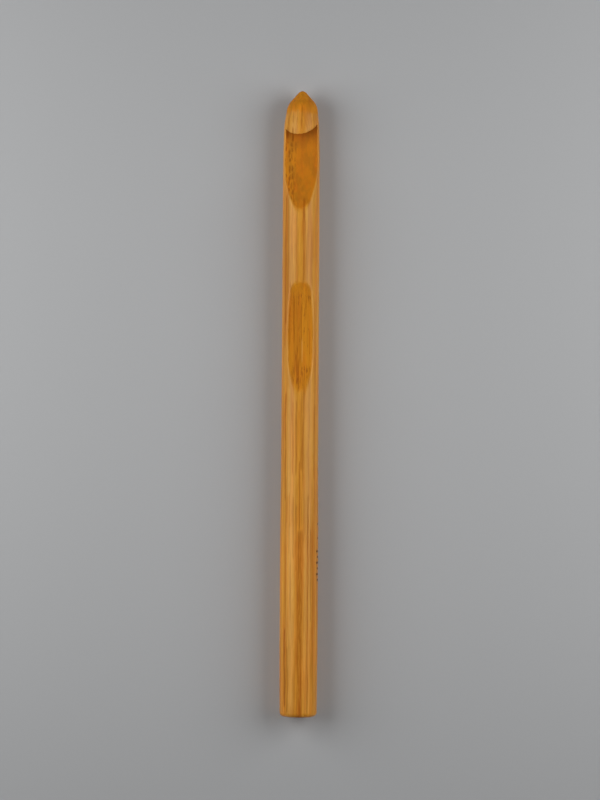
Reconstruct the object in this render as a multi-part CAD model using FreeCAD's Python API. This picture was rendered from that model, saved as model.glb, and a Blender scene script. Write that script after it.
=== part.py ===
"""One-piece bamboo crochet hook with a burnt size mark.

The hook lies on its back on the plane z = 0. +Y points to the tip, +Z out of the
throat, and +X to the right when the throat faces up and the tip points away.
The origin is on the supporting plane, under the middle of the length.
"""
import FreeCAD, Part
import math
import os

Vec = FreeCAD.Vector

# ---- Driving dimensions, in millimetres ----
HOOK_LENGTH = 150.0
GRIP_RADIUS = 4.56

# The turned stick: a rounded point, then corners as (distance from the tip, radius)
# and those of the shank with the rounding of each corner
TIP_ROUNDING = 1.25
TIP_HALF_ANGLE = math.radians(41.5)
SHOULDER_FROM_TIP = 3.35
SHOULDER_ROUNDING = 3.0
HEAD_END = (8.2, 4.17)
HEAD_END_ROUNDING = 12.0
SHANK_CORNERS = [(15.5, 4.385, 60.0), (30.0, 4.41, 150.0), (94.0, 4.46, 150.0)]
GRIP_START = 103.0
GRIP_END = 134.0
GRIP_ROUNDING = 150.0
BUTT_RADIUS = 4.43
BUTT_ROUNDING = 1.0

# Throat: an undercut under the lip, a nearly flat floor and a ramp back to the surface
LIP_FROM_TIP = 10.6
LIP_HEIGHT = 4.18          # above the axis
LIP_UNDERCUT = 0.8         # run towards the tip for each unit of depth
ROOT_HEIGHT = 1.43         # floor above the axis, under the lip
ROOT_FILLET = 0.5
RAMP_FROM_TIP = 19.35
RAMP_FOOT_HEIGHT = 1.68    # floor above the axis, at the foot of the ramp
RAMP_SLOPE = 0.28
RAMP_FILLET = 20.0
THROAT_SKEW = 0.16         # the cut lies this much nearer the tip for each unit to +X

# Thumb rest: a shallow hollow, as (distance from its upper end, depth), and the
# radius of each inner corner
THUMB_REST_FROM_TIP = 45.7
THUMB_REST_SURFACE = 4.43  # above the axis
THUMB_REST_CORNERS = [(0.0, 0.0), (1.5, 0.80), (12.0, 1.50), (20.7, 1.10), (27.3, 0.0)]
THUMB_REST_RADII = [6.0, 100.0, 12.0]

# Where the cuts meet the turned surface, the edge is sanded round
SANDED_EDGE = 0.15

# Size mark: two small dashes, then a row of ticks, alternately long and short, all
# burnt into the side. Angles are above the horizontal, seen along the stick.
TICK_WIDTH = 0.46
TICK_COUNT = 6
TICK_PITCH = 1.37
FIRST_TICK_FROM_TIP = 110.1
DASH_COUNT = 2
DASH_PITCH = 3.4
FIRST_DASH_FROM_TIP = 103.6
MARK_LOW_ANGLE = math.radians(-14.0)
LONG_TICK_TOP = math.radians(24.0)
SHORT_TICK_TOP = math.radians(17.0)
DASH_TOP = math.radians(14.0)
POCKET_DEPTH = 0.30
CHAR_SINK = 0.04           # char below the wood's surface

# ---- Values that follow from them ----
TIP_Y = HOOK_LENGTH / 2
BUTT_Y = -HOOK_LENGTH / 2
AXIS_HEIGHT = GRIP_RADIUS
CLEAR = 3.0                # how far a cutting tool reaches past the wood
HALF_CUT_WIDTH = GRIP_RADIUS + CLEAR
CUT_TOP = AXIS_HEIGHT + GRIP_RADIUS + 2 * CLEAR


def along(from_tip):
    """The y of a place given by its distance from the tip."""
    return TIP_Y - from_tip


def on_profile(from_tip, radius):
    """A point of the stick's outline, drawn on the side that the hook lies on."""
    return Vec(0, along(from_tip), AXIS_HEIGHT - radius)


def in_side_view(from_tip, height):
    """A point of a cut's side outline; height is above the axis."""
    return Vec(0, along(from_tip), AXIS_HEIGHT + height)


def rounded_path(corners, radii):
    """Edges through the corners, with a tangent arc of the given radius at each inner one."""
    edges = []
    start = corners[0]
    for before, corner, after, radius in zip(corners, corners[1:], corners[2:], radii):
        inward = (before - corner).normalize()
        outward = (after - corner).normalize()
        half_turn = (math.pi - inward.getAngle(outward)) / 2
        reach = radius * math.tan(half_turn)
        bisector = (inward + outward).normalize()
        centre = corner + bisector * (radius / math.cos(half_turn))
        arc_start = corner + inward * reach
        arc_end = corner + outward * reach
        edges.append(Part.makeLine(start, arc_start))
        edges.append(Part.Arc(arc_start, centre - bisector * radius, arc_end).toShape())
        start = arc_end
    edges.append(Part.makeLine(start, corners[-1]))
    return edges


def cut_across(edges, first, last, skew=0.0):
    """The solid that a side outline, closed over the top of the stick, sweeps across it."""
    over_first = Vec(0, first.y, CUT_TOP)
    over_last = Vec(0, last.y, CUT_TOP)
    lid = [
        Part.makeLine(last, over_last),
        Part.makeLine(over_last, over_first),
        Part.makeLine(over_first, first),
    ]
    face = Part.Face(Part.Wire(edges + lid))
    half_sweep = Vec(HALF_CUT_WIDTH, skew * HALF_CUT_WIDTH, 0)
    face.translate(half_sweep * -1)
    return face.extrude(half_sweep * 2)


def turned_stick():
    """The stick before it is cut: pointed at one end, rounded at the other."""
    tip = on_profile(0, 0)
    tip_arc = [
        (TIP_ROUNDING * (1 - math.sin(angle)), TIP_ROUNDING * math.cos(angle))
        for angle in ((math.pi / 2 + TIP_HALF_ANGLE) / 2, TIP_HALF_ANGLE)
    ]
    flank_start, flank_radius = tip_arc[1]
    shoulder_rise = (SHOULDER_FROM_TIP - flank_start) * math.tan(TIP_HALF_ANGLE)
    outline = [
        tip_arc[1],
        (SHOULDER_FROM_TIP, flank_radius + shoulder_rise),
        HEAD_END,
        *[(from_tip, radius) for from_tip, radius, _ in SHANK_CORNERS],
        (GRIP_START, GRIP_RADIUS),
        (GRIP_END, GRIP_RADIUS),
        (HOOK_LENGTH, BUTT_RADIUS),
        (HOOK_LENGTH, 0),
    ]
    shank_radii = [rounding for _, _, rounding in SHANK_CORNERS]
    grip_radii = [GRIP_ROUNDING, GRIP_ROUNDING]
    radii = [SHOULDER_ROUNDING, HEAD_END_ROUNDING, *shank_radii, *grip_radii, BUTT_ROUNDING]
    corners = [on_profile(*place) for place in outline]
    edges = [Part.Arc(tip, on_profile(*tip_arc[0]), corners[0]).toShape()]
    edges += rounded_path(corners, radii)
    edges.append(Part.makeLine(corners[-1], tip))
    return Part.Face(Part.Wire(edges)).revolve(tip, Vec(0, 1, 0), 360)


def throat_cut():
    """The wood taken away behind the lip."""
    root_depth = LIP_HEIGHT - ROOT_HEIGHT
    ramp_rise = GRIP_RADIUS + CLEAR - RAMP_FOOT_HEIGHT
    corners = [
        in_side_view(LIP_FROM_TIP + LIP_UNDERCUT * CLEAR, LIP_HEIGHT + CLEAR),
        in_side_view(LIP_FROM_TIP - LIP_UNDERCUT * root_depth, ROOT_HEIGHT),
        in_side_view(RAMP_FROM_TIP, RAMP_FOOT_HEIGHT),
        in_side_view(RAMP_FROM_TIP + ramp_rise / RAMP_SLOPE, GRIP_RADIUS + CLEAR),
    ]
    outline = rounded_path(corners, [ROOT_FILLET, RAMP_FILLET])
    return cut_across(outline, corners[0], corners[-1], THROAT_SKEW)


def thumb_rest_cut():
    """The shallow hollow that the thumb sits in."""
    corners = [
        in_side_view(THUMB_REST_FROM_TIP + distance, THUMB_REST_SURFACE - depth)
        for distance, depth in THUMB_REST_CORNERS
    ]
    corners[0] += (corners[0] - corners[1]) * CLEAR
    corners[-1] += (corners[-1] - corners[-2]) * CLEAR / 2
    return cut_across(rounded_path(corners, THUMB_REST_RADII), corners[0], corners[-1])


def side_block(from_tip, outer, top_angle):
    """One burnt block on the +X side, from the bottom of its pocket to the outer radius."""
    inner = GRIP_RADIUS - POCKET_DEPTH
    y_start = along(from_tip)
    y_end = along(from_tip + TICK_WIDTH)
    corners = [
        Vec(inner, y_start, 0),
        Vec(outer, y_start, 0),
        Vec(outer, y_end, 0),
        Vec(inner, y_end, 0),
    ]
    face = Part.Face(Part.makePolygon(corners + corners[:1]))
    towards_top = Vec(0, -1, 0)
    sweep = top_angle - MARK_LOW_ANGLE
    face.rotate(Vec(0, 0, 0), towards_top, math.degrees(MARK_LOW_ANGLE))
    block = face.revolve(Vec(0, 0, 0), towards_top, math.degrees(sweep))
    block.translate(Vec(0, 0, AXIS_HEIGHT))
    return block


def size_mark(outer):
    """Every dash and tick of the size mark, out to the given radius."""
    dashes = [
        side_block(FIRST_DASH_FROM_TIP + number * DASH_PITCH, outer, DASH_TOP)
        for number in range(DASH_COUNT)
    ]
    tops = [LONG_TICK_TOP, SHORT_TICK_TOP]
    ticks = [
        side_block(FIRST_TICK_FROM_TIP + number * TICK_PITCH, outer, tops[number % 2])
        for number in range(TICK_COUNT)
    ]
    return dashes + ticks


def is_cut_edge(edge):
    """True where a cut meets the turned surface: far from the axis, and all above the floor."""
    middle = edge.valueAt((edge.FirstParameter + edge.LastParameter) / 2)
    on_surface = math.hypot(middle.x, middle.z - AXIS_HEIGHT) > LIP_HEIGHT - 2 * SANDED_EDGE
    return on_surface and edge.BoundBox.ZMin > AXIS_HEIGHT + ROOT_HEIGHT - SANDED_EDGE


def bamboo_hook():
    """The whole wooden piece, with the pockets of the size mark."""
    wood = turned_stick().cut(throat_cut()).cut(thumb_rest_cut())
    wood = wood.makeFillet(SANDED_EDGE, [edge for edge in wood.Edges if is_cut_edge(edge)])
    for pocket in size_mark(GRIP_RADIUS + CLEAR):
        wood = wood.cut(pocket)
    return wood


def write_node(name, solids):
    """Writes the solids of one node to its STEP file."""
    shape = solids[0] if len(solids) == 1 else Part.makeCompound(solids)
    shape.exportStep(os.path.join("parts", name + ".step"))
    print(name, "solids", len(shape.Solids), "volume", round(shape.Volume, 2), "valid", shape.isValid())


os.makedirs("parts", exist_ok=True)
write_node("bamboo_hook", bamboo_hook().Solids)
write_node("burnt_size_mark", size_mark(GRIP_RADIUS - CHAR_SINK))
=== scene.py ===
"""Looks of the bamboo crochet hook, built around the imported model.

The wood is one closed mesh, made from a formula for its solid: the turned stick, the
throat, the thumb rest and the burnt grooves, all with sanded edges. Its grain is a solid
texture that runs through the stick, so every cut shows the fibres it meets.
Lengths in the shape formulas are in millimetres; t is the distance from the tip, and
h is the height above the stick's axis.
"""
import math
import bpy
import numpy as np
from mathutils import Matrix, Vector


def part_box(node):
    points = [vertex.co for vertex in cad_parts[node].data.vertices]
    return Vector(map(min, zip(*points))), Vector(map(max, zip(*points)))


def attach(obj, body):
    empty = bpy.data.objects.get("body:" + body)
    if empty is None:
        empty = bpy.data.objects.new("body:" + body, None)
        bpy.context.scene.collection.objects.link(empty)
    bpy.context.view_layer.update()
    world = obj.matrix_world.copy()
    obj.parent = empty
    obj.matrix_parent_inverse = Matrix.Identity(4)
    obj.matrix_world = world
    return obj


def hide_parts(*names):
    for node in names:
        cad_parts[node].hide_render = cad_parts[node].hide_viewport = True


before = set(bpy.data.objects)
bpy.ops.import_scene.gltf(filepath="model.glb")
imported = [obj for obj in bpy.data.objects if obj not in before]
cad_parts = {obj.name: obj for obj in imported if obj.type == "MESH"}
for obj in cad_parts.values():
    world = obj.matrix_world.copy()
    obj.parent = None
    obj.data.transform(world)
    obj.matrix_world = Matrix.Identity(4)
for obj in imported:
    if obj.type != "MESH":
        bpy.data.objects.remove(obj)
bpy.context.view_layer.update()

# ---- Sizes taken from the frame ----
MM = 0.001
wood_low, wood_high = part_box("bamboo_hook")
mark_low, mark_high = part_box("burnt_size_mark")
LENGTH = (wood_high.y - wood_low.y) / MM
TIP_Y = wood_high.y / MM
AXIS_HEIGHT = wood_high.z / 2 / MM
GRIP_RADIUS = AXIS_HEIGHT

# ---- The turned stick, as in the CAD model; its corners are (distance from the tip, radius) ----
TIP_ROUNDING = 1.25
TIP_HALF_ANGLE = math.radians(41.5)
TIP_LEAN = 0.16                      # the point was sanded a little to the right
HEAD_END = (8.2, 4.17)
HEAD_LINE = [(3.35, 3.526), HEAD_END]
SHANK = [HEAD_END, (15.5, 4.385), (30.0, 4.41), (94.0, 4.46), (103.0, GRIP_RADIUS),
         (134.0, GRIP_RADIUS), (LENGTH, 4.43)]
BUTT_ROUNDING = 1.0

# ---- The cuts ----
LIP_T, LIP_H, LIP_UNDERCUT = 10.6, 4.18, 0.8
ROOT_H = 1.43
ROOT_T = LIP_T - LIP_UNDERCUT * (LIP_H - ROOT_H)
RAMP_T, RAMP_H, RAMP_SLOPE = 19.35, 1.68, 0.28
THROAT_SKEW = 0.16                   # the cut lies nearer the tip on the right
THUMB_T, THUMB_H = 45.7, 4.43
THUMB_CORNERS = [(0.0, 0.0), (1.5, 0.80), (12.0, 1.50), (20.7, 1.10), (27.3, 0.0)]
THUMB_ROUNDING = [0.65, 0.64, 0.09]
THUMB_END = THUMB_T + 27.0
SANDED_EDGE = 0.17

# ---- How widely two surfaces of the stick or a cut blend where they meet ----
HEAD_BLEND, POINT_BLEND = 0.12, 0.75
RAMP_BLEND, LIP_BLEND = 0.66, 0.5

# ---- The burnt mark: two dashes, then ticks that are long and short by turns ----
TICK_WIDTH = 0.46
FIRST_DASH, DASH_PITCH, DASH_COUNT = 103.6, 3.4, 2
FIRST_TICK, TICK_PITCH, TICK_COUNT = 110.1, 1.37, 6
MARK_LOW_ANGLE = math.radians(-14.0)
DASH_TOP = math.radians(14.0)
TICK_TOPS = [math.radians(24.0), math.radians(17.0)]
# (distance from the tip, top angle) of each
MARK = [(FIRST_DASH + number * DASH_PITCH, DASH_TOP) for number in range(DASH_COUNT)]
MARK += [(FIRST_TICK + number * TICK_PITCH, TICK_TOPS[number % 2]) for number in range(TICK_COUNT)]
MARK_START, MARK_END = 102.8, 118.7  # the stretch of the handle that holds it
GROOVE_DEPTH, GROOVE_MARGIN, GROOVE_EDGE = 0.13, 0.04, 0.05
CHAR_BOTTOM, CHAR_TOP = 0.30, 0.05   # depths below the handle's surface
OPEN_TOP = -0.6                      # a depth well above that surface
FAR = 10.0                           # stands for any distance too large to matter

# ---- Mesh resolution: from each distance from the tip on, the spacing of the slices ----
CROSS_SPACING = 0.175
SLICES = [(-0.6, 0.17), (31.0, 0.9), (44.5, 0.33), (74.0, 1.0), (MARK_START, 0.15),
          (MARK_END, 1.0), (147.2, 0.17), (LENGTH + 0.6, 0.17)]


# ================================ Shape formulas ================================

def smooth_min(a, b, width):
    """The smaller value, with a rounded change from one to the other."""
    near = np.maximum(width - np.abs(a - b), 0) / width
    return np.minimum(a, b) - near * near * width / 4


def smooth_max(a, b, width):
    """The larger value, with a rounded change from one to the other."""
    return -smooth_min(-a, -b, width)


def smooth_step(value, start, end):
    """0 before start, 1 after end, and smooth between."""
    part = np.clip((value - start) / (end - start), 0, 1)
    return part * part * (3 - 2 * part)


def line_through(value, first, second):
    """The straight line through two points."""
    slope = (second[1] - first[1]) / (second[0] - first[0])
    return first[1] + (value - first[0]) * slope


def wobble(x, t, h, seed, size):
    """Smooth random waves, about 1 high, of the given size along each direction."""
    rng = np.random.default_rng(seed)
    total = 0
    for wave in range(6):
        turn = rng.normal(size=3) * 2 * math.pi / np.array(size)
        total = total + np.sin(turn[0] * x + turn[1] * t + turn[2] * h + rng.uniform(0, 6.3))
    return total / 3.5


def turned_stick(x, t, h):
    """Signed distance from the turned surface: negative inside the wood."""
    x = x - TIP_LEAN * (1 - smooth_step(t, 3.0, 9.0))
    out = np.hypot(x, h)
    sine, cosine = math.sin(TIP_HALF_ANGLE), math.cos(TIP_HALF_ANGLE)
    from_ball = t - TIP_ROUNDING
    ball = np.hypot(out, from_ball) - TIP_ROUNDING
    cone = out * cosine - from_ball * sine - TIP_ROUNDING
    tip = np.where(out * sine + from_ball * cosine < 0, ball, cone)
    head = out - line_through(t, *HEAD_LINE)
    places, radii = zip(*SHANK)
    side = out - np.interp(t, places, radii)
    side = smooth_max(side, head, HEAD_BLEND)
    side = smooth_max(tip, side, POINT_BLEND)
    beside = side + BUTT_ROUNDING
    behind = t - LENGTH + BUTT_ROUNDING
    corner = np.hypot(np.maximum(beside, 0), np.maximum(behind, 0))
    return corner + np.minimum(np.maximum(beside, behind), 0) - BUTT_ROUNDING


def throat_air(x, t, h):
    """Positive in the air of the throat, negative under its floor and behind its lip."""
    t = t + THROAT_SKEW * x
    floor = line_through(t, (ROOT_T, ROOT_H), (RAMP_T, RAMP_H))
    ramp = RAMP_H + (t - RAMP_T) * RAMP_SLOPE
    above_floor = h - smooth_max(floor, ramp, RAMP_BLEND)
    lip_plane = LIP_T - LIP_UNDERCUT * (LIP_H - h)
    past_lip = (t - lip_plane) / math.hypot(1, LIP_UNDERCUT)
    return smooth_min(above_floor, past_lip, LIP_BLEND)


def thumb_air(t, h):
    """Positive in the air of the thumb rest."""
    along = t - THUMB_T
    sides = [line_through(along, *pair) for pair in zip(THUMB_CORNERS, THUMB_CORNERS[1:])]
    depth = sides[0]
    for side, width in zip(sides[1:], THUMB_ROUNDING):
        depth = smooth_min(depth, side, width)
    return h - (THUMB_H - depth)


def tick_distance(x, t, h, bottom, top, grow):
    """Signed distance from the nearest tick between two depths, widened by grow on each side."""
    rounding = 0.1
    low = MARK_LOW_ANGLE * GRIP_RADIUS
    across = np.arctan2(h, x) * GRIP_RADIUS
    depth = GRIP_RADIUS - np.hypot(x, h)
    nearest = np.full(np.shape(x), FAR)
    for from_tip, top_angle in MARK:
        high = top_angle * GRIP_RADIUS
        middle = from_tip + TICK_WIDTH / 2
        beyond = [
            np.abs(across - (low + high) / 2) - (high - low) / 2 - grow + rounding,
            np.abs(t - middle) - TICK_WIDTH / 2 - grow + rounding,
            np.abs(depth - (bottom + top) / 2) - (bottom - top) / 2 + rounding,
        ]
        outside = np.sqrt(sum(np.maximum(side, 0) ** 2 for side in beyond))
        inside = np.minimum(np.maximum(np.maximum(beyond[0], beyond[1]), beyond[2]), 0)
        nearest = np.minimum(nearest, outside + inside - rounding)
    return nearest


def wood_solid(x, t, h):
    """Signed distance from the wood's surface, which is a little uneven from sanding by hand."""
    body = turned_stick(x, t, h) + 0.012 * wobble(x, t, h, 5, (9.0, 40.0, 9.0))
    body = smooth_max(body, throat_air(x, t, h), SANDED_EDGE)
    thumb_rest = thumb_air(t, h) + 0.02 * wobble(x, t, h, 8, (4.0, 9.0, 4.0))
    body = smooth_max(body, thumb_rest, SANDED_EDGE)
    # the grooves are worked out only near the mark, which saves time
    near_mark = (t > MARK_START) & (t < MARK_END) & (x > 2.0)
    place = x[near_mark], t[near_mark], h[near_mark]
    groove = np.full(np.shape(x), FAR)
    groove[near_mark] = tick_distance(*place, GROOVE_DEPTH, OPEN_TOP, GROOVE_MARGIN)
    return smooth_max(body, -groove, GROOVE_EDGE)


def char_solid(x, t, h):
    """Signed distance from the char in the grooves: ragged, and a little below the surface."""
    rough = 0.02 * wobble(x, t, h, 3, (0.5, 0.35, 0.5)) + 0.012 * wobble(x, t, h, 4, (0.2, 0.2, 0.2))
    return tick_distance(x, t, h, CHAR_BOTTOM, CHAR_TOP, 0.0) + rough


# ================================ Meshing ================================

def graded(stations):
    """Values along a line whose spacing changes at each station."""
    values = []
    for (start, spacing), (end, _) in zip(stations, stations[1:]):
        count = max(1, round((end - start) / spacing))
        values.extend(np.linspace(start, end, count, endpoint=False))
    return np.array(values + [stations[-1][0]])


def gradient(solid, points):
    """The formula's slope at each point."""
    step = 0.01
    slopes = []
    for axis in range(3):
        shift = np.zeros(3)
        shift[axis] = step
        ahead, behind = points + shift, points - shift
        slopes.append((solid(*ahead.T) - solid(*behind.T)) / (2 * step))
    return np.stack(slopes, 1)


def onto_surface(solid, points, steps):
    """Moves points along the formula's slope until they lie on the surface."""
    for _ in range(steps):
        slope = gradient(solid, points)
        size = np.maximum((slope ** 2).sum(1), 0.2)
        points = points - slope * np.clip(solid(*points.T) / size, -0.1, 0.1)[:, None]
    return points


def net_surface(solid, xs, ts, hs):
    """Vertices, as (x, t, h), and outward quads of a formula's surface on a grid."""
    value = solid(*np.meshgrid(xs, ts, hs, indexing="ij"))
    inside = value < 0
    cells = tuple(n - 1 for n in inside.shape)
    grid = (xs, ts, hs)
    total, crossings = np.zeros(cells + (3,)), np.zeros(cells)
    for axis in range(3):
        near, far = np.moveaxis(value, axis, 0)[:-1], np.moveaxis(value, axis, 0)[1:]
        crossed = (near < 0) != (far < 0)
        part = np.where(crossed, near / np.where(crossed, near - far, 1), 0)
        places = np.meshgrid(*grid, indexing="ij")
        places = [np.moveaxis(p, axis, 0)[:-1].copy() for p in places]
        spacing = np.diff(grid[axis])[:, None, None]
        places[axis] += part * spacing
        for j in (0, 1):
            for k in (0, 1):
                rows = slice(j, crossed.shape[1] - 1 + j)
                columns = slice(k, crossed.shape[2] - 1 + k)
                hit = crossed[:, rows, columns]
                target = np.moveaxis(crossings, axis, 0)
                target += hit
                for part_axis in range(3):
                    sums = np.moveaxis(total[..., part_axis], axis, 0)
                    sums += places[part_axis][:, rows, columns] * hit
    mixed = crossings > 0
    number = np.full(cells, -1)
    number[mixed] = np.arange(mixed.sum())
    points = total[mixed] / crossings[mixed][:, None]
    quads = []
    for axis in range(3):
        along, cell = np.moveaxis(inside, axis, 0), np.moveaxis(number, axis, 0)
        i, j, k = np.nonzero(along[:-1, 1:-1, 1:-1] != along[1:, 1:-1, 1:-1])
        j, k = j + 1, k + 1
        quad = np.stack([cell[i, j - 1, k - 1], cell[i, j, k - 1], cell[i, j, k], cell[i, j - 1, k]], 1)
        # t runs against y, so the grid is left-handed, and each turn is the other way round
        backward = along[i, j, k] if axis != 1 else ~along[i, j, k]
        quad[backward] = quad[backward][:, ::-1]
        quads.append(quad)
    return points, np.concatenate(quads)


def relaxed(solid, points, quads, rounds):
    """Evens out the vertices along the surface without leaving it."""
    pairs = np.concatenate([quads[:, [a, (a + 1) % 4]] for a in range(4)])
    pairs = np.concatenate([pairs, pairs[:, ::-1]])
    count = np.bincount(pairs[:, 0], minlength=len(points))
    for _ in range(rounds):
        middle = np.stack(
            [np.bincount(pairs[:, 0], points[pairs[:, 1], axis], len(points)) for axis in range(3)], 1)
        shift = (middle / count[:, None] - points) * 0.5
        slope = gradient(solid, points)
        slope = slope / np.linalg.norm(slope, axis=1, keepdims=True)
        points = points + shift - slope * (shift * slope).sum(1, keepdims=True)
        points = onto_surface(solid, points, 1)
    return onto_surface(solid, points, 2)


def make_object(name, points, quads, attributes):
    """A smooth-shaded object in the frame's metres, with its vertex attributes."""
    mesh = bpy.data.meshes.new(name)
    place = np.stack([points[:, 0], TIP_Y - points[:, 1], points[:, 2] + AXIS_HEIGHT], 1) * MM
    mesh.from_pydata(place.tolist(), [], quads.tolist())
    mesh.shade_smooth()
    for label, values in attributes.items():
        mesh.attributes.new(label, "FLOAT", "POINT").data.foreach_set("value", values)
    piece = bpy.data.objects.new(name, mesh)
    bpy.context.scene.collection.objects.link(piece)
    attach(piece, "root")
    return piece


def make_wood():
    """The whole hook as one closed mesh."""
    reach = GRIP_RADIUS + 2 * CROSS_SPACING
    across = np.linspace(-reach, reach, round(2 * reach / CROSS_SPACING) + 1)
    points, quads = net_surface(wood_solid, across, graded(SLICES), across)
    points = relaxed(wood_solid, onto_surface(wood_solid, points, 3), quads, 4)
    cut_depth = -turned_stick(*points.T)
    scorch_reach = 0.16
    from_tick = np.maximum(tick_distance(*points.T, CHAR_BOTTOM, OPEN_TOP, 0.0), 0)
    scorch = np.exp(-from_tick / scorch_reach)
    piece = make_object("bamboo_wood", points, quads, {"cut_depth": cut_depth, "scorch": scorch})
    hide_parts("bamboo_hook")
    return piece


def make_char():
    """The char at the bottom of the burnt grooves, one closed lump for each tick."""
    spacing, margin = 0.075, 0.3
    xs = np.arange(mark_low.x / MM - margin, mark_high.x / MM + margin, spacing)
    ts = np.arange(TIP_Y - mark_high.y / MM - margin, TIP_Y - mark_low.y / MM + margin, spacing)
    hs = np.arange(mark_low.z / MM - margin, mark_high.z / MM + margin, spacing) - AXIS_HEIGHT
    points, quads = net_surface(char_solid, xs, ts, hs)
    piece = make_object("size_mark_char", onto_surface(char_solid, points, 3), quads, {})
    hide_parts("burnt_size_mark")
    return piece


# ================================ Materials ================================

class Graph:
    """A short way to write shader nodes: each call returns the node's output."""

    def __init__(self, tree):
        self.tree = tree
        self.tree.nodes.clear()

    def node(self, kind, inputs=None, output=0, **settings):
        made = self.tree.nodes.new("ShaderNode" + kind)
        for key, value in settings.items():
            setattr(made, key, value)
        for key, value in (inputs or {}).items():
            self.put(made.inputs[key], value)
        return made.outputs[output]

    def put(self, socket, value):
        if isinstance(value, bpy.types.NodeSocket):
            self.tree.links.new(value, socket)
        else:
            socket.default_value = value

    def math(self, operation, *values, clamp=False):
        return self.node("Math", dict(enumerate(values)), operation=operation, use_clamp=clamp)

    def add(self, *values):
        total = values[0]
        for value in values[1:]:
            total = self.math("ADD", total, value)
        return total

    def times(self, *values):
        total = values[0]
        for value in values[1:]:
            total = self.math("MULTIPLY", total, value)
        return total

    def step(self, value, start, end, low=0.0, high=1.0):
        """A smooth step from low at start to high at end."""
        settings = {"Value": value, "From Min": start, "From Max": end, "To Min": low, "To Max": high}
        return self.node("MapRange", settings, interpolation_type="SMOOTHSTEP")

    def band(self, value, low, high, soft):
        """1 between low and high, fading to 0 over the soft distance outside them."""
        return self.times(self.step(value, low - soft, low), self.step(value, high, high + soft, 1.0, 0.0))

    def vector(self, x, y, z):
        return self.node("CombineXYZ", {0: x, 1: y, 2: z})

    def parts(self, vector):
        """The three numbers of a vector."""
        return self.node("SeparateXYZ", {0: vector}).node.outputs

    def scaled(self, vector, factors):
        return self.node("VectorMath", {0: vector, 1: factors}, operation="MULTIPLY")

    def place(self):
        """The place on the object, in millimetres."""
        return self.scaled(self.node("TexCoord", output="Object"), (1 / MM,) * 3)

    def stretched(self, x, y, h, across, along):
        """A place scaled by one factor across the fibres, and by another along them."""
        return self.vector(self.times(x, across), self.times(y, along), self.times(h, across))

    def noise(self, vector, detail=2.0, roughness=0.5, output=0):
        settings = {"Vector": vector, "Scale": 1.0, "Detail": detail, "Roughness": roughness}
        return self.node("TexNoise", settings, output=output)

    def mix(self, factor, first, second, blend="MIX"):
        """A mix of two colours, whose sockets are inputs 6 and 7 and output 2 of the node."""
        made = self.tree.nodes.new("ShaderNodeMix")
        made.data_type = "RGBA"
        made.blend_type = blend
        self.put(made.inputs[0], factor)
        self.put(made.inputs[6], first)
        self.put(made.inputs[7], second)
        return made.outputs[2]

    def tint(self, factor, base, red, green, blue):
        """The base colour, multiplied by the tint where the factor is 1."""
        return self.mix(factor, base, (red, green, blue, 1.0), "MULTIPLY")

    def finish(self, **surface):
        """Ends a material with its shader, given the values or nodes of its sockets."""
        shader = self.tree.nodes.new("ShaderNodeBsdfPrincipled")
        for key, value in surface.items():
            self.put(shader.inputs[key.replace("_", " ")], value)
        out = self.tree.nodes.new("ShaderNodeOutputMaterial")
        self.tree.links.new(shader.outputs[0], out.inputs[0])


def new_material(name):
    """A material, and the graph that its nodes are written with."""
    material = bpy.data.materials.new(name)
    material.use_nodes = True
    return material, Graph(material.node_tree)


def colour(red, green, blue):
    """A colour given as the eye reads it, from 0 to 255, made linear."""
    linear = [((c / 255 + 0.055) / 1.055) ** 2.4 if c > 10 else c / 255 / 12.92 for c in (red, green, blue)]
    return (*linear, 1.0)


# Single fibres on the upper side: (x, from t, to t, half width, strength)
DARK_FIBRES = [
    (0.08, 3.4, 10.4, 0.17, 0.62), (-3.00, 6.6, 9.6, 0.12, 0.60), (-2.02, 5.2, 9.0, 0.12, 0.50),
    (1.15, 7.4, 10.2, 0.13, 0.50), (2.30, 7.0, 9.8, 0.10, 0.28), (-1.40, 3.2, 6.0, 0.12, 0.30),
    (-3.30, 8.6, 12.4, 0.24, 0.95), (-2.05, 8.8, 13.2, 0.18, 0.85), (0.30, 10.0, 13.0, 0.30, 0.25),
    (-3.55, 25.0, 57.0, 0.13, 0.70), (0.72, 25.5, 47.0, 0.26, 0.80), (1.15, 31.0, 46.5, 0.12, 0.45),
    (-0.60, 33.0, 46.0, 0.14, 0.25), (2.60, 30.0, 47.0, 0.20, 0.22), (-1.90, 20.5, 28.0, 0.12, 0.50),
    (-1.55, 49.5, 61.5, 0.16, 0.55), (-2.55, 51.5, 62.0, 0.14, 0.50), (0.20, 51.0, 61.0, 0.12, 0.45),
    (1.30, 46.8, 56.0, 0.13, 0.50), (-0.80, 61.0, 69.5, 0.13, 0.55), (-0.45, 64.0, 73.0, 0.13, 0.60),
    (2.20, 57.0, 66.0, 0.13, 0.35), (-3.42, 72.0, 99.0, 0.15, 0.75), (-1.65, 74.5, 93.0, 0.16, 0.50),
    (-0.85, 74.0, 93.0, 0.20, 0.55), (0.45, 72.0, 92.0, 0.50, 0.32), (0.85, 73.0, 90.0, 0.14, 0.35),
    (3.55, 75.0, 94.0, 0.30, 0.35), (0.00, 88.5, 106.5, 0.17, 0.80), (-1.45, 97.0, 113.0, 0.14, 0.45),
    (-2.40, 96.0, 112.0, 0.12, 0.40), (-0.70, 99.0, 116.0, 0.24, 0.55), (0.15, 105.0, 154.0, 0.72, 0.85),
    (-0.15, 108.0, 152.0, 0.20, 0.80), (0.42, 106.0, 141.0, 0.18, 0.75), (2.08, 96.5, 150.0, 0.13, 0.72),
    (2.78, 104.5, 128.0, 0.13, 0.45), (-3.35, 128.5, 148.5, 0.20, 0.70), (-2.70, 133.0, 150.0, 0.13, 0.60),
    (-2.05, 113.0, 127.0, 0.10, 0.30), (1.15, 124.0, 148.0, 0.12, 0.30),
]
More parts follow.
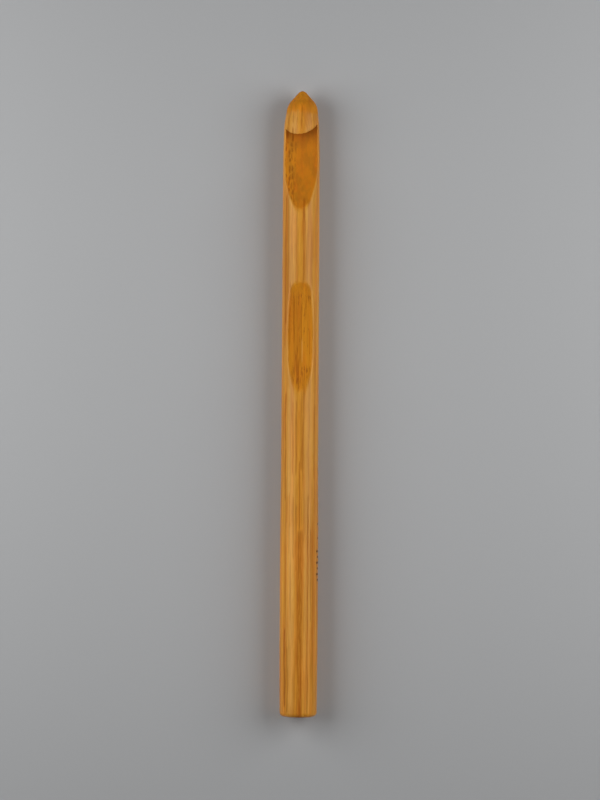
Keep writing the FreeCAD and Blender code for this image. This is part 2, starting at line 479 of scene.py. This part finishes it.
LIGHT_FIBRES = [
    (-1.30, 6.0, 10.2, 0.20, 0.50), (-2.60, 26.0, 47.0, 0.35, 0.35), (3.10, 72.0, 88.0, 0.25, 0.40),
    (-2.75, 71.0, 98.0, 0.34, 0.45), (-0.32, 109.0, 124.0, 0.08, 0.45), (-3.00, 103.0, 133.0, 0.12, 0.70),
    (-1.75, 103.0, 113.0, 0.14, 0.50), (2.45, 98.0, 150.0, 0.13, 0.60), (1.35, 108.0, 140.0, 0.26, 0.30),
    (0.42, 59.0, 66.0, 0.16, 0.55), (-3.75, 61.0, 71.0, 0.16, 0.40), (-1.90, 104.0, 152.0, 0.80, 0.55),
]


def fibre_group():
    """The node group for one single fibre: how strong it is at a place, tapered at both ends."""
    tree = bpy.data.node_groups.new("single_fibre", "ShaderNodeTree")
    graph = Graph(tree)
    labels = ("x", "t", "centre", "start", "end", "half width", "strength")
    for label in labels:
        tree.interface.new_socket(label, in_out="INPUT", socket_type="NodeSocketFloat")
    tree.interface.new_socket("presence", in_out="OUTPUT", socket_type="NodeSocketFloat")
    given = tree.nodes.new("NodeGroupInput").outputs
    x, t, centre, start, end, half_width, strength = (given[label] for label in labels)
    aside = graph.math("DIVIDE", graph.math("ABSOLUTE", graph.math("SUBTRACT", x, centre)), half_width)
    across = graph.step(aside, 0.3, 1.5, 1.0, 0.0)
    entering = graph.step(graph.math("SUBTRACT", t, start), 0.0, 1.4)
    leaving = graph.step(graph.math("SUBTRACT", end, t), 0.0, 1.4)
    out = tree.nodes.new("NodeGroupOutput")
    graph.put(out.inputs[0], graph.times(across, entering, leaving, strength))
    return tree


def fibres(graph, group, x, t, entries):
    """The strongest of several single fibres at each place."""
    strongest = 0.0
    for centre, start, end, half_width, strength in entries:
        made = graph.tree.nodes.new("ShaderNodeGroup")
        made.node_tree = group
        values = (x, t, centre, start, end, half_width, strength)
        for socket, value in zip(made.inputs, values):
            graph.put(socket, value)
        strongest = graph.math("MAXIMUM", strongest, made.outputs[0])
    return strongest


def bamboo_material():
    """Heat-treated bamboo: fibre bundles, dense to the left and sparse to the right."""
    material, g = new_material("bamboo_waxed")
    x, y, z = g.parts(g.place())
    h = g.math("SUBTRACT", z, AXIS_HEIGHT)
    t = g.math("SUBTRACT", TIP_Y, y)

    cut_depth = g.node("Attribute", attribute_name="cut_depth", output="Fac")
    scorch = g.node("Attribute", attribute_name="scorch", output="Fac")

    # the fibres run almost straight, with a slow drift
    drift = g.parts(g.noise(g.stretched(x, y, h, 0.08, 0.045), output="Color"))
    fibre_x = g.add(x, g.times(g.add(drift[0], -0.5), 0.9))
    fibre_h = g.add(h, g.times(g.add(drift[1], -0.5), 1.2))

    # where the wood is cut or sanded raw: the cuts, the point and the butt's face
    edge_noise = g.noise(g.vector(g.times(x, 0.9), g.times(y, 0.35), h), 2.0)
    sanded_point = g.step(g.add(t, g.times(edge_noise, 2.4)), 5.9, 7.4, 1.0, 0.0)
    sanded_butt = g.step(t, LENGTH - 0.25, LENGTH - 0.05)
    cut = g.step(g.add(cut_depth, g.times(edge_noise, 0.25)), 0.16, 0.44)
    raw = g.math("MAXIMUM", cut, g.math("MAXIMUM", sanded_point, sanded_butt))
    throat = g.times(cut, g.step(t, 33.0, 35.0, 1.0, 0.0))

    # fibre bundles: cells in the cross-section, closer together towards the outer skin at -x
    crowded = g.math("LOGARITHM", g.add(g.times(g.add(fibre_x, 4.7), 0.17), 1.0), math.e)
    cell_place = g.vector(g.times(crowded, 10.8), g.times(fibre_h, 1.2), 0.0)
    cells = g.node("TexVoronoi", {"Vector": cell_place, "Scale": 1.0, "Randomness": 0.85},
                   voronoi_dimensions="2D").node.outputs
    cell_random = g.parts(cells["Color"])
    bundle = g.step(cells["Distance"], 0.20, 0.44, 1.0, 0.0)
    bundle_core = g.step(cells["Distance"], 0.03, 0.13, 1.0, 0.0)
    density = g.step(fibre_x, -3.5, 3.5, 1.0, 0.25)
    coming_and_going = g.noise(g.vector(g.times(cell_random[0], 40.0), g.times(y, 0.06), 0.0), 1.0)
    bundle_dark = g.times(bundle, density, g.step(coming_and_going, 0.35, 0.65),
                          g.add(g.times(cell_random[1], 0.8), 0.2))

    # stripes from broad to fine, all along the fibres
    broad = g.noise(g.stretched(fibre_x, y, fibre_h, 0.8, 0.02), 2.0, 0.5)
    stripes = g.noise(g.stretched(fibre_x, y, fibre_h, 2.2, 0.05), 3.0, 0.6)
    fine = g.noise(g.stretched(fibre_x, y, fibre_h, 6.5, 0.14), 3.0, 0.65)
    finer = g.noise(g.stretched(fibre_x, y, fibre_h, 16.0, 0.6), 2.0, 0.6)
    mottle = g.noise(g.stretched(x, y, h, 0.55, 0.30), 3.0, 0.6)
    hue = g.noise(g.stretched(fibre_x, y, fibre_h, 0.9, 0.07), 2.0, 0.5)

    # pores in the throat: short staggered dots over the denser side
    dot_drift = g.noise(g.vector(g.times(x, 0.6), g.times(y, 0.45), 7.0), 2.0, 0.6, "Color")
    dot_drift = g.parts(dot_drift)
    dot_place = g.vector(g.add(g.times(x, 1.35), g.times(dot_drift[1], 0.9)),
                         g.add(g.times(t, 0.52), g.times(dot_drift[0], 1.6)), 0.0)
    dots = g.node("TexVoronoi", {"Vector": dot_place, "Scale": 1.0, "Randomness": 0.75},
                  voronoi_dimensions="2D").node.outputs
    dot_random = g.parts(dots["Color"])
    dot_size = g.add(g.times(dot_random[1], 0.20), 0.30)
    dot = g.step(g.math("DIVIDE", dots["Distance"], dot_size), 0.2, 1.2, 1.0, 0.0)
    dot_zone = g.times(g.band(t, 12.5, 27.5, 1.5), g.step(x, -2.5, -0.4, 1.0, 0.06), throat)
    dot_dark = g.times(dot, dot_zone, g.add(g.times(dot_random[0], 0.6), 0.55))

    # dark flecks in the thumb rest, drawn out along the fibres and densest near its two ends
    flecks = g.noise(g.vector(g.times(fibre_x, 3.4), g.times(y, 0.30), 3.0), 3.0, 0.7)
    thumb = g.times(g.band(t, THUMB_T, THUMB_END, 1.0), cut)
    thumb_ends = g.math("MAXIMUM", g.band(t, 48.2, 49.2, 1.2), g.band(t, 67.5, 70.5, 2.0))
    fleck_dark = g.times(g.step(g.add(flecks, g.times(thumb_ends, 0.06)), 0.58, 0.68), thumb)

    # single fibres on the upper side: they ripple a little and fade in places
    group = fibre_group()
    ripple = g.noise(g.vector(3.0, g.times(y, 0.11), 0.0), 2.0)
    streak_x = g.add(x, g.times(g.add(ripple, -0.5), 0.5))
    streak_t = g.add(t, g.times(ripple, 0.8))
    gaps = g.noise(g.vector(g.times(x, 3.0), g.times(y, 0.25), 5.0), 3.0)
    broken = g.step(gaps, 0.30, 0.62, 0.55, 1.0)
    upper = g.step(h, 0.3, 1.2)
    dark_fibre = g.times(fibres(g, group, streak_x, streak_t, DARK_FIBRES), broken, upper)
    light_fibre = g.times(fibres(g, group, streak_x, streak_t, LIGHT_FIBRES), broken, upper)

    # the wood's own colour: golden under the wax, more orange where it is raw
    tone = g.add(g.times(broad, 1.1), g.times(stripes, 0.65), g.times(fine, 0.45),
                 g.times(finer, 0.25), -0.71)
    tone = g.step(tone, 0.15, 0.85)
    calm = g.mix(g.times(throat, 0.8), tone, g.step(mottle, 0.35, 0.65))
    waxed = g.mix(tone, colour(190, 115, 18), colour(236, 165, 58))
    bare = g.mix(calm, colour(192, 116, 12), colour(221, 141, 19))
    base = g.mix(raw, waxed, bare)

    # broad differences: painted highlight on the left flank, where the left softbox lights its rim; a
    # lighter point; the handle lightened as painted highlight; and some redder strips
    # painted highlight: the waxed left flank is lightened where the low left softbox lights its rim
    left_rim_highlight = g.times(g.step(x, -3.9, -3.0, 1.0, 0.0), g.step(raw, 0.0, 1.0, 1.0, 0.0))
    base = g.tint(left_rim_highlight, base, 1.14, 1.16, 1.10)
    base = g.tint(sanded_point, base, 1.14, 1.16, 1.55)
    # painted highlight: the colour is lightened from the handle on towards the butt, to stand in for
    # brighter highlights there
    base = g.tint(g.step(t, 98.0, 114.0), base, 1.12, 1.12, 1.05)
    base = g.tint(g.step(hue, 0.40, 0.68, 0.0, 0.8), base, 1.03, 0.88, 0.85)

    # the throat: mottled and lighter to the left, with painted shade under the overhanging lip
    base = g.tint(g.times(throat, g.step(mottle, 0.36, 0.66, 0.25, 1.0)), base, 0.93, 0.80, 0.45)
    base = g.tint(g.times(throat, g.step(x, -2.6, -0.6, 1.0, 0.0)), base, 1.06, 1.16, 1.60)
    skewed_t = g.add(t, g.times(x, THROAT_SKEW))
    # painted shade: the throat floor is darkened just below the lip, where its overhang shades it
    base = g.tint(g.times(throat, g.step(skewed_t, 9.6, 14.5, 1.0, 0.0)), base, 0.68, 0.56, 0.34)

    # bundles, fibres, flecks, pores and scorching
    bundle_share = g.times(bundle_dark, g.step(raw, 0.0, 1.0, 0.50, 0.65))
    base = g.tint(bundle_share, base, 0.72, 0.57, 0.30)
    base = g.mix(g.times(bundle_core, bundle_dark, 0.35), base, colour(226, 160, 66))
    base = g.mix(g.times(light_fibre, 0.55), base, colour(250, 190, 96))
    base = g.tint(fleck_dark, base, 0.62, 0.47, 0.22)
    base = g.tint(g.times(dot_dark, 0.9), base, 0.60, 0.44, 0.14)
    base = g.tint(dark_fibre, base, 0.55, 0.35, 0.07)
    base = g.mix(g.times(scorch, 0.55), base, colour(120, 68, 20))

    # surface: a thin wax film, thinner on the dark fibres and worn off where the wood is raw
    roughness = g.add(g.step(raw, 0.0, 1.0, 0.33, 0.66), g.times(fine, 0.12), g.times(dark_fibre, 0.35))
    wax = g.times(g.step(raw, 0.0, 1.0, 0.12, 0.0), g.step(dark_fibre, 0.0, 0.8, 1.0, 0.2))
    relief = g.add(g.times(fine, 0.6), g.times(finer, g.step(raw, 0.0, 1.0, 0.25, 0.7)),
                   g.times(dot_dark, -0.4))
    bump = g.node("Bump", {"Strength": 1.0, "Distance": 0.016 * MM, "Height": relief})
    g.finish(Base_Color=base, Roughness=roughness, Normal=bump, IOR=1.5,
             Specular_IOR_Level=0.6, Specular_Tint=(1.0, 0.76, 0.36, 1.0),
             Coat_Weight=wax, Coat_Roughness=0.35)
    return material


def char_material():
    """Burnt wood: dark brown in patches, crazed by darker cracks."""
    material, g = new_material("burnt_char")
    place = g.place()
    grain = g.noise(g.scaled(place, (3.0, 1.2, 3.0)), 4.0, 0.65)
    cracks = g.node("TexVoronoi", {"Vector": place, "Scale": 6.0}, feature="DISTANCE_TO_EDGE")
    base = g.mix(g.step(grain, 0.35, 0.7), colour(118, 72, 28), colour(165, 108, 50))
    base = g.mix(g.step(cracks, 0.0, 0.08, 0.6, 0.0), base, colour(66, 39, 16))
    roughness = g.step(grain, 0.3, 0.7, 0.72, 0.92)
    relief = g.add(grain, g.step(cracks, 0.0, 0.12))
    bump = g.node("Bump", {"Strength": 1.0, "Distance": 0.02 * MM, "Height": relief})
    g.finish(Base_Color=base, Roughness=roughness, Normal=bump, Specular_IOR_Level=0.2)
    return material


def floor_material():
    """Matt grey card, which glows faintly far from the hook, beyond the reach of the softboxes."""
    material, g = new_material("grey_card")
    place = g.place()
    fibre = g.noise(g.scaled(place, (1.6, 1.6, 1.6)), 3.0, 0.6)
    base = g.mix(fibre, (0.486, 0.493, 0.501, 1.0), (0.502, 0.509, 0.517, 1.0))
    bump = g.node("Bump", {"Strength": 0.4, "Distance": 0.01 * MM, "Height": fibre})
    far = g.node("VectorMath", {0: place}, output="Value", operation="LENGTH")
    glow = g.step(far, 125.0, 360.0, 0.0, 0.36)
    g.finish(Base_Color=base, Roughness=0.9, Normal=bump,
             Emission_Color=(1.0, 1.0, 1.0, 1.0), Emission_Strength=glow)
    return material


# ================================ Stage ================================

def make_floor():
    """A large flat card that the hook lies on."""
    half = 2.5
    mesh = bpy.data.meshes.new("floor")
    corners = [(-half, -half, 0), (half, -half, 0), (half, half, 0), (-half, half, 0)]
    mesh.from_pydata(corners, [], [(0, 1, 2, 3)])
    floor = bpy.data.objects.new("floor", mesh)
    bpy.context.scene.collection.objects.link(floor)
    floor.data.materials.append(floor_material())


def softbox(name, azimuth, elevation, distance, size, power):
    """A square soft light that faces the hook. Azimuth 0 is on the +X side, 90 over the tip."""
    data = bpy.data.lights.new(name, "AREA")
    data.shape = "SQUARE"
    data.size = size
    data.energy = power
    around, up = math.radians(azimuth), math.radians(elevation)
    away = Vector((math.cos(around) * math.cos(up), math.sin(around) * math.cos(up), math.sin(up)))
    light = bpy.data.objects.new(name, data)
    light.location = away * distance
    light.rotation_euler = away.to_track_quat("Z", "Y").to_euler()
    light.visible_camera = False
    bpy.context.scene.collection.objects.link(light)


def make_lights():
    """Softboxes left and right of the hook, a weak one past its butt, and a dim pale room."""
    softbox("softbox_left", azimuth=168.0, elevation=39.0, distance=0.28, size=0.23, power=0.51)
    softbox("softbox_right", azimuth=12.0, elevation=39.0, distance=0.28, size=0.23, power=0.476)
    softbox("softbox_butt", azimuth=270.0, elevation=30.0, distance=0.45, size=0.30, power=0.12)
    world = bpy.data.worlds.new("studio")
    world.use_nodes = True
    nodes, links = world.node_tree.nodes, world.node_tree.links
    strength = nodes.new("ShaderNodeMapRange")
    strength.inputs["To Min"].default_value = 0.025  # the light that it gives
    strength.inputs["To Max"].default_value = 0.38   # how bright it looks
    links.new(nodes.new("ShaderNodeLightPath").outputs["Is Camera Ray"], strength.inputs["Value"])
    links.new(strength.outputs[0], nodes["Background"].inputs["Strength"])
    nodes["Background"].inputs["Color"].default_value = (1.0, 1.0, 1.0, 1.0)
    bpy.context.scene.world = world


def make_camera():
    """Straight above the hook, with the tip at the top of the picture."""
    above = 0.8
    view_height = 0.192
    ahead_of_middle = 0.0009
    roll = math.radians(0.35)
    data = bpy.data.cameras.new("camera")
    data.sensor_fit = "VERTICAL"
    data.lens = data.sensor_height * above / view_height
    data.clip_start = 0.01
    data.clip_end = 10.0
    camera = bpy.data.objects.new("camera", data)
    camera.location = (0.0, ahead_of_middle, AXIS_HEIGHT * MM + above)
    camera.rotation_euler = (0.0, 0.0, roll)
    bpy.context.scene.collection.objects.link(camera)
    bpy.context.scene.camera = camera


make_camera()
make_lights()
make_floor()
wood = make_wood()
wood.data.materials.append(bamboo_material())
char = make_char()
char.data.materials.append(char_material())
bpy.context.scene.view_settings.view_transform = "Standard"
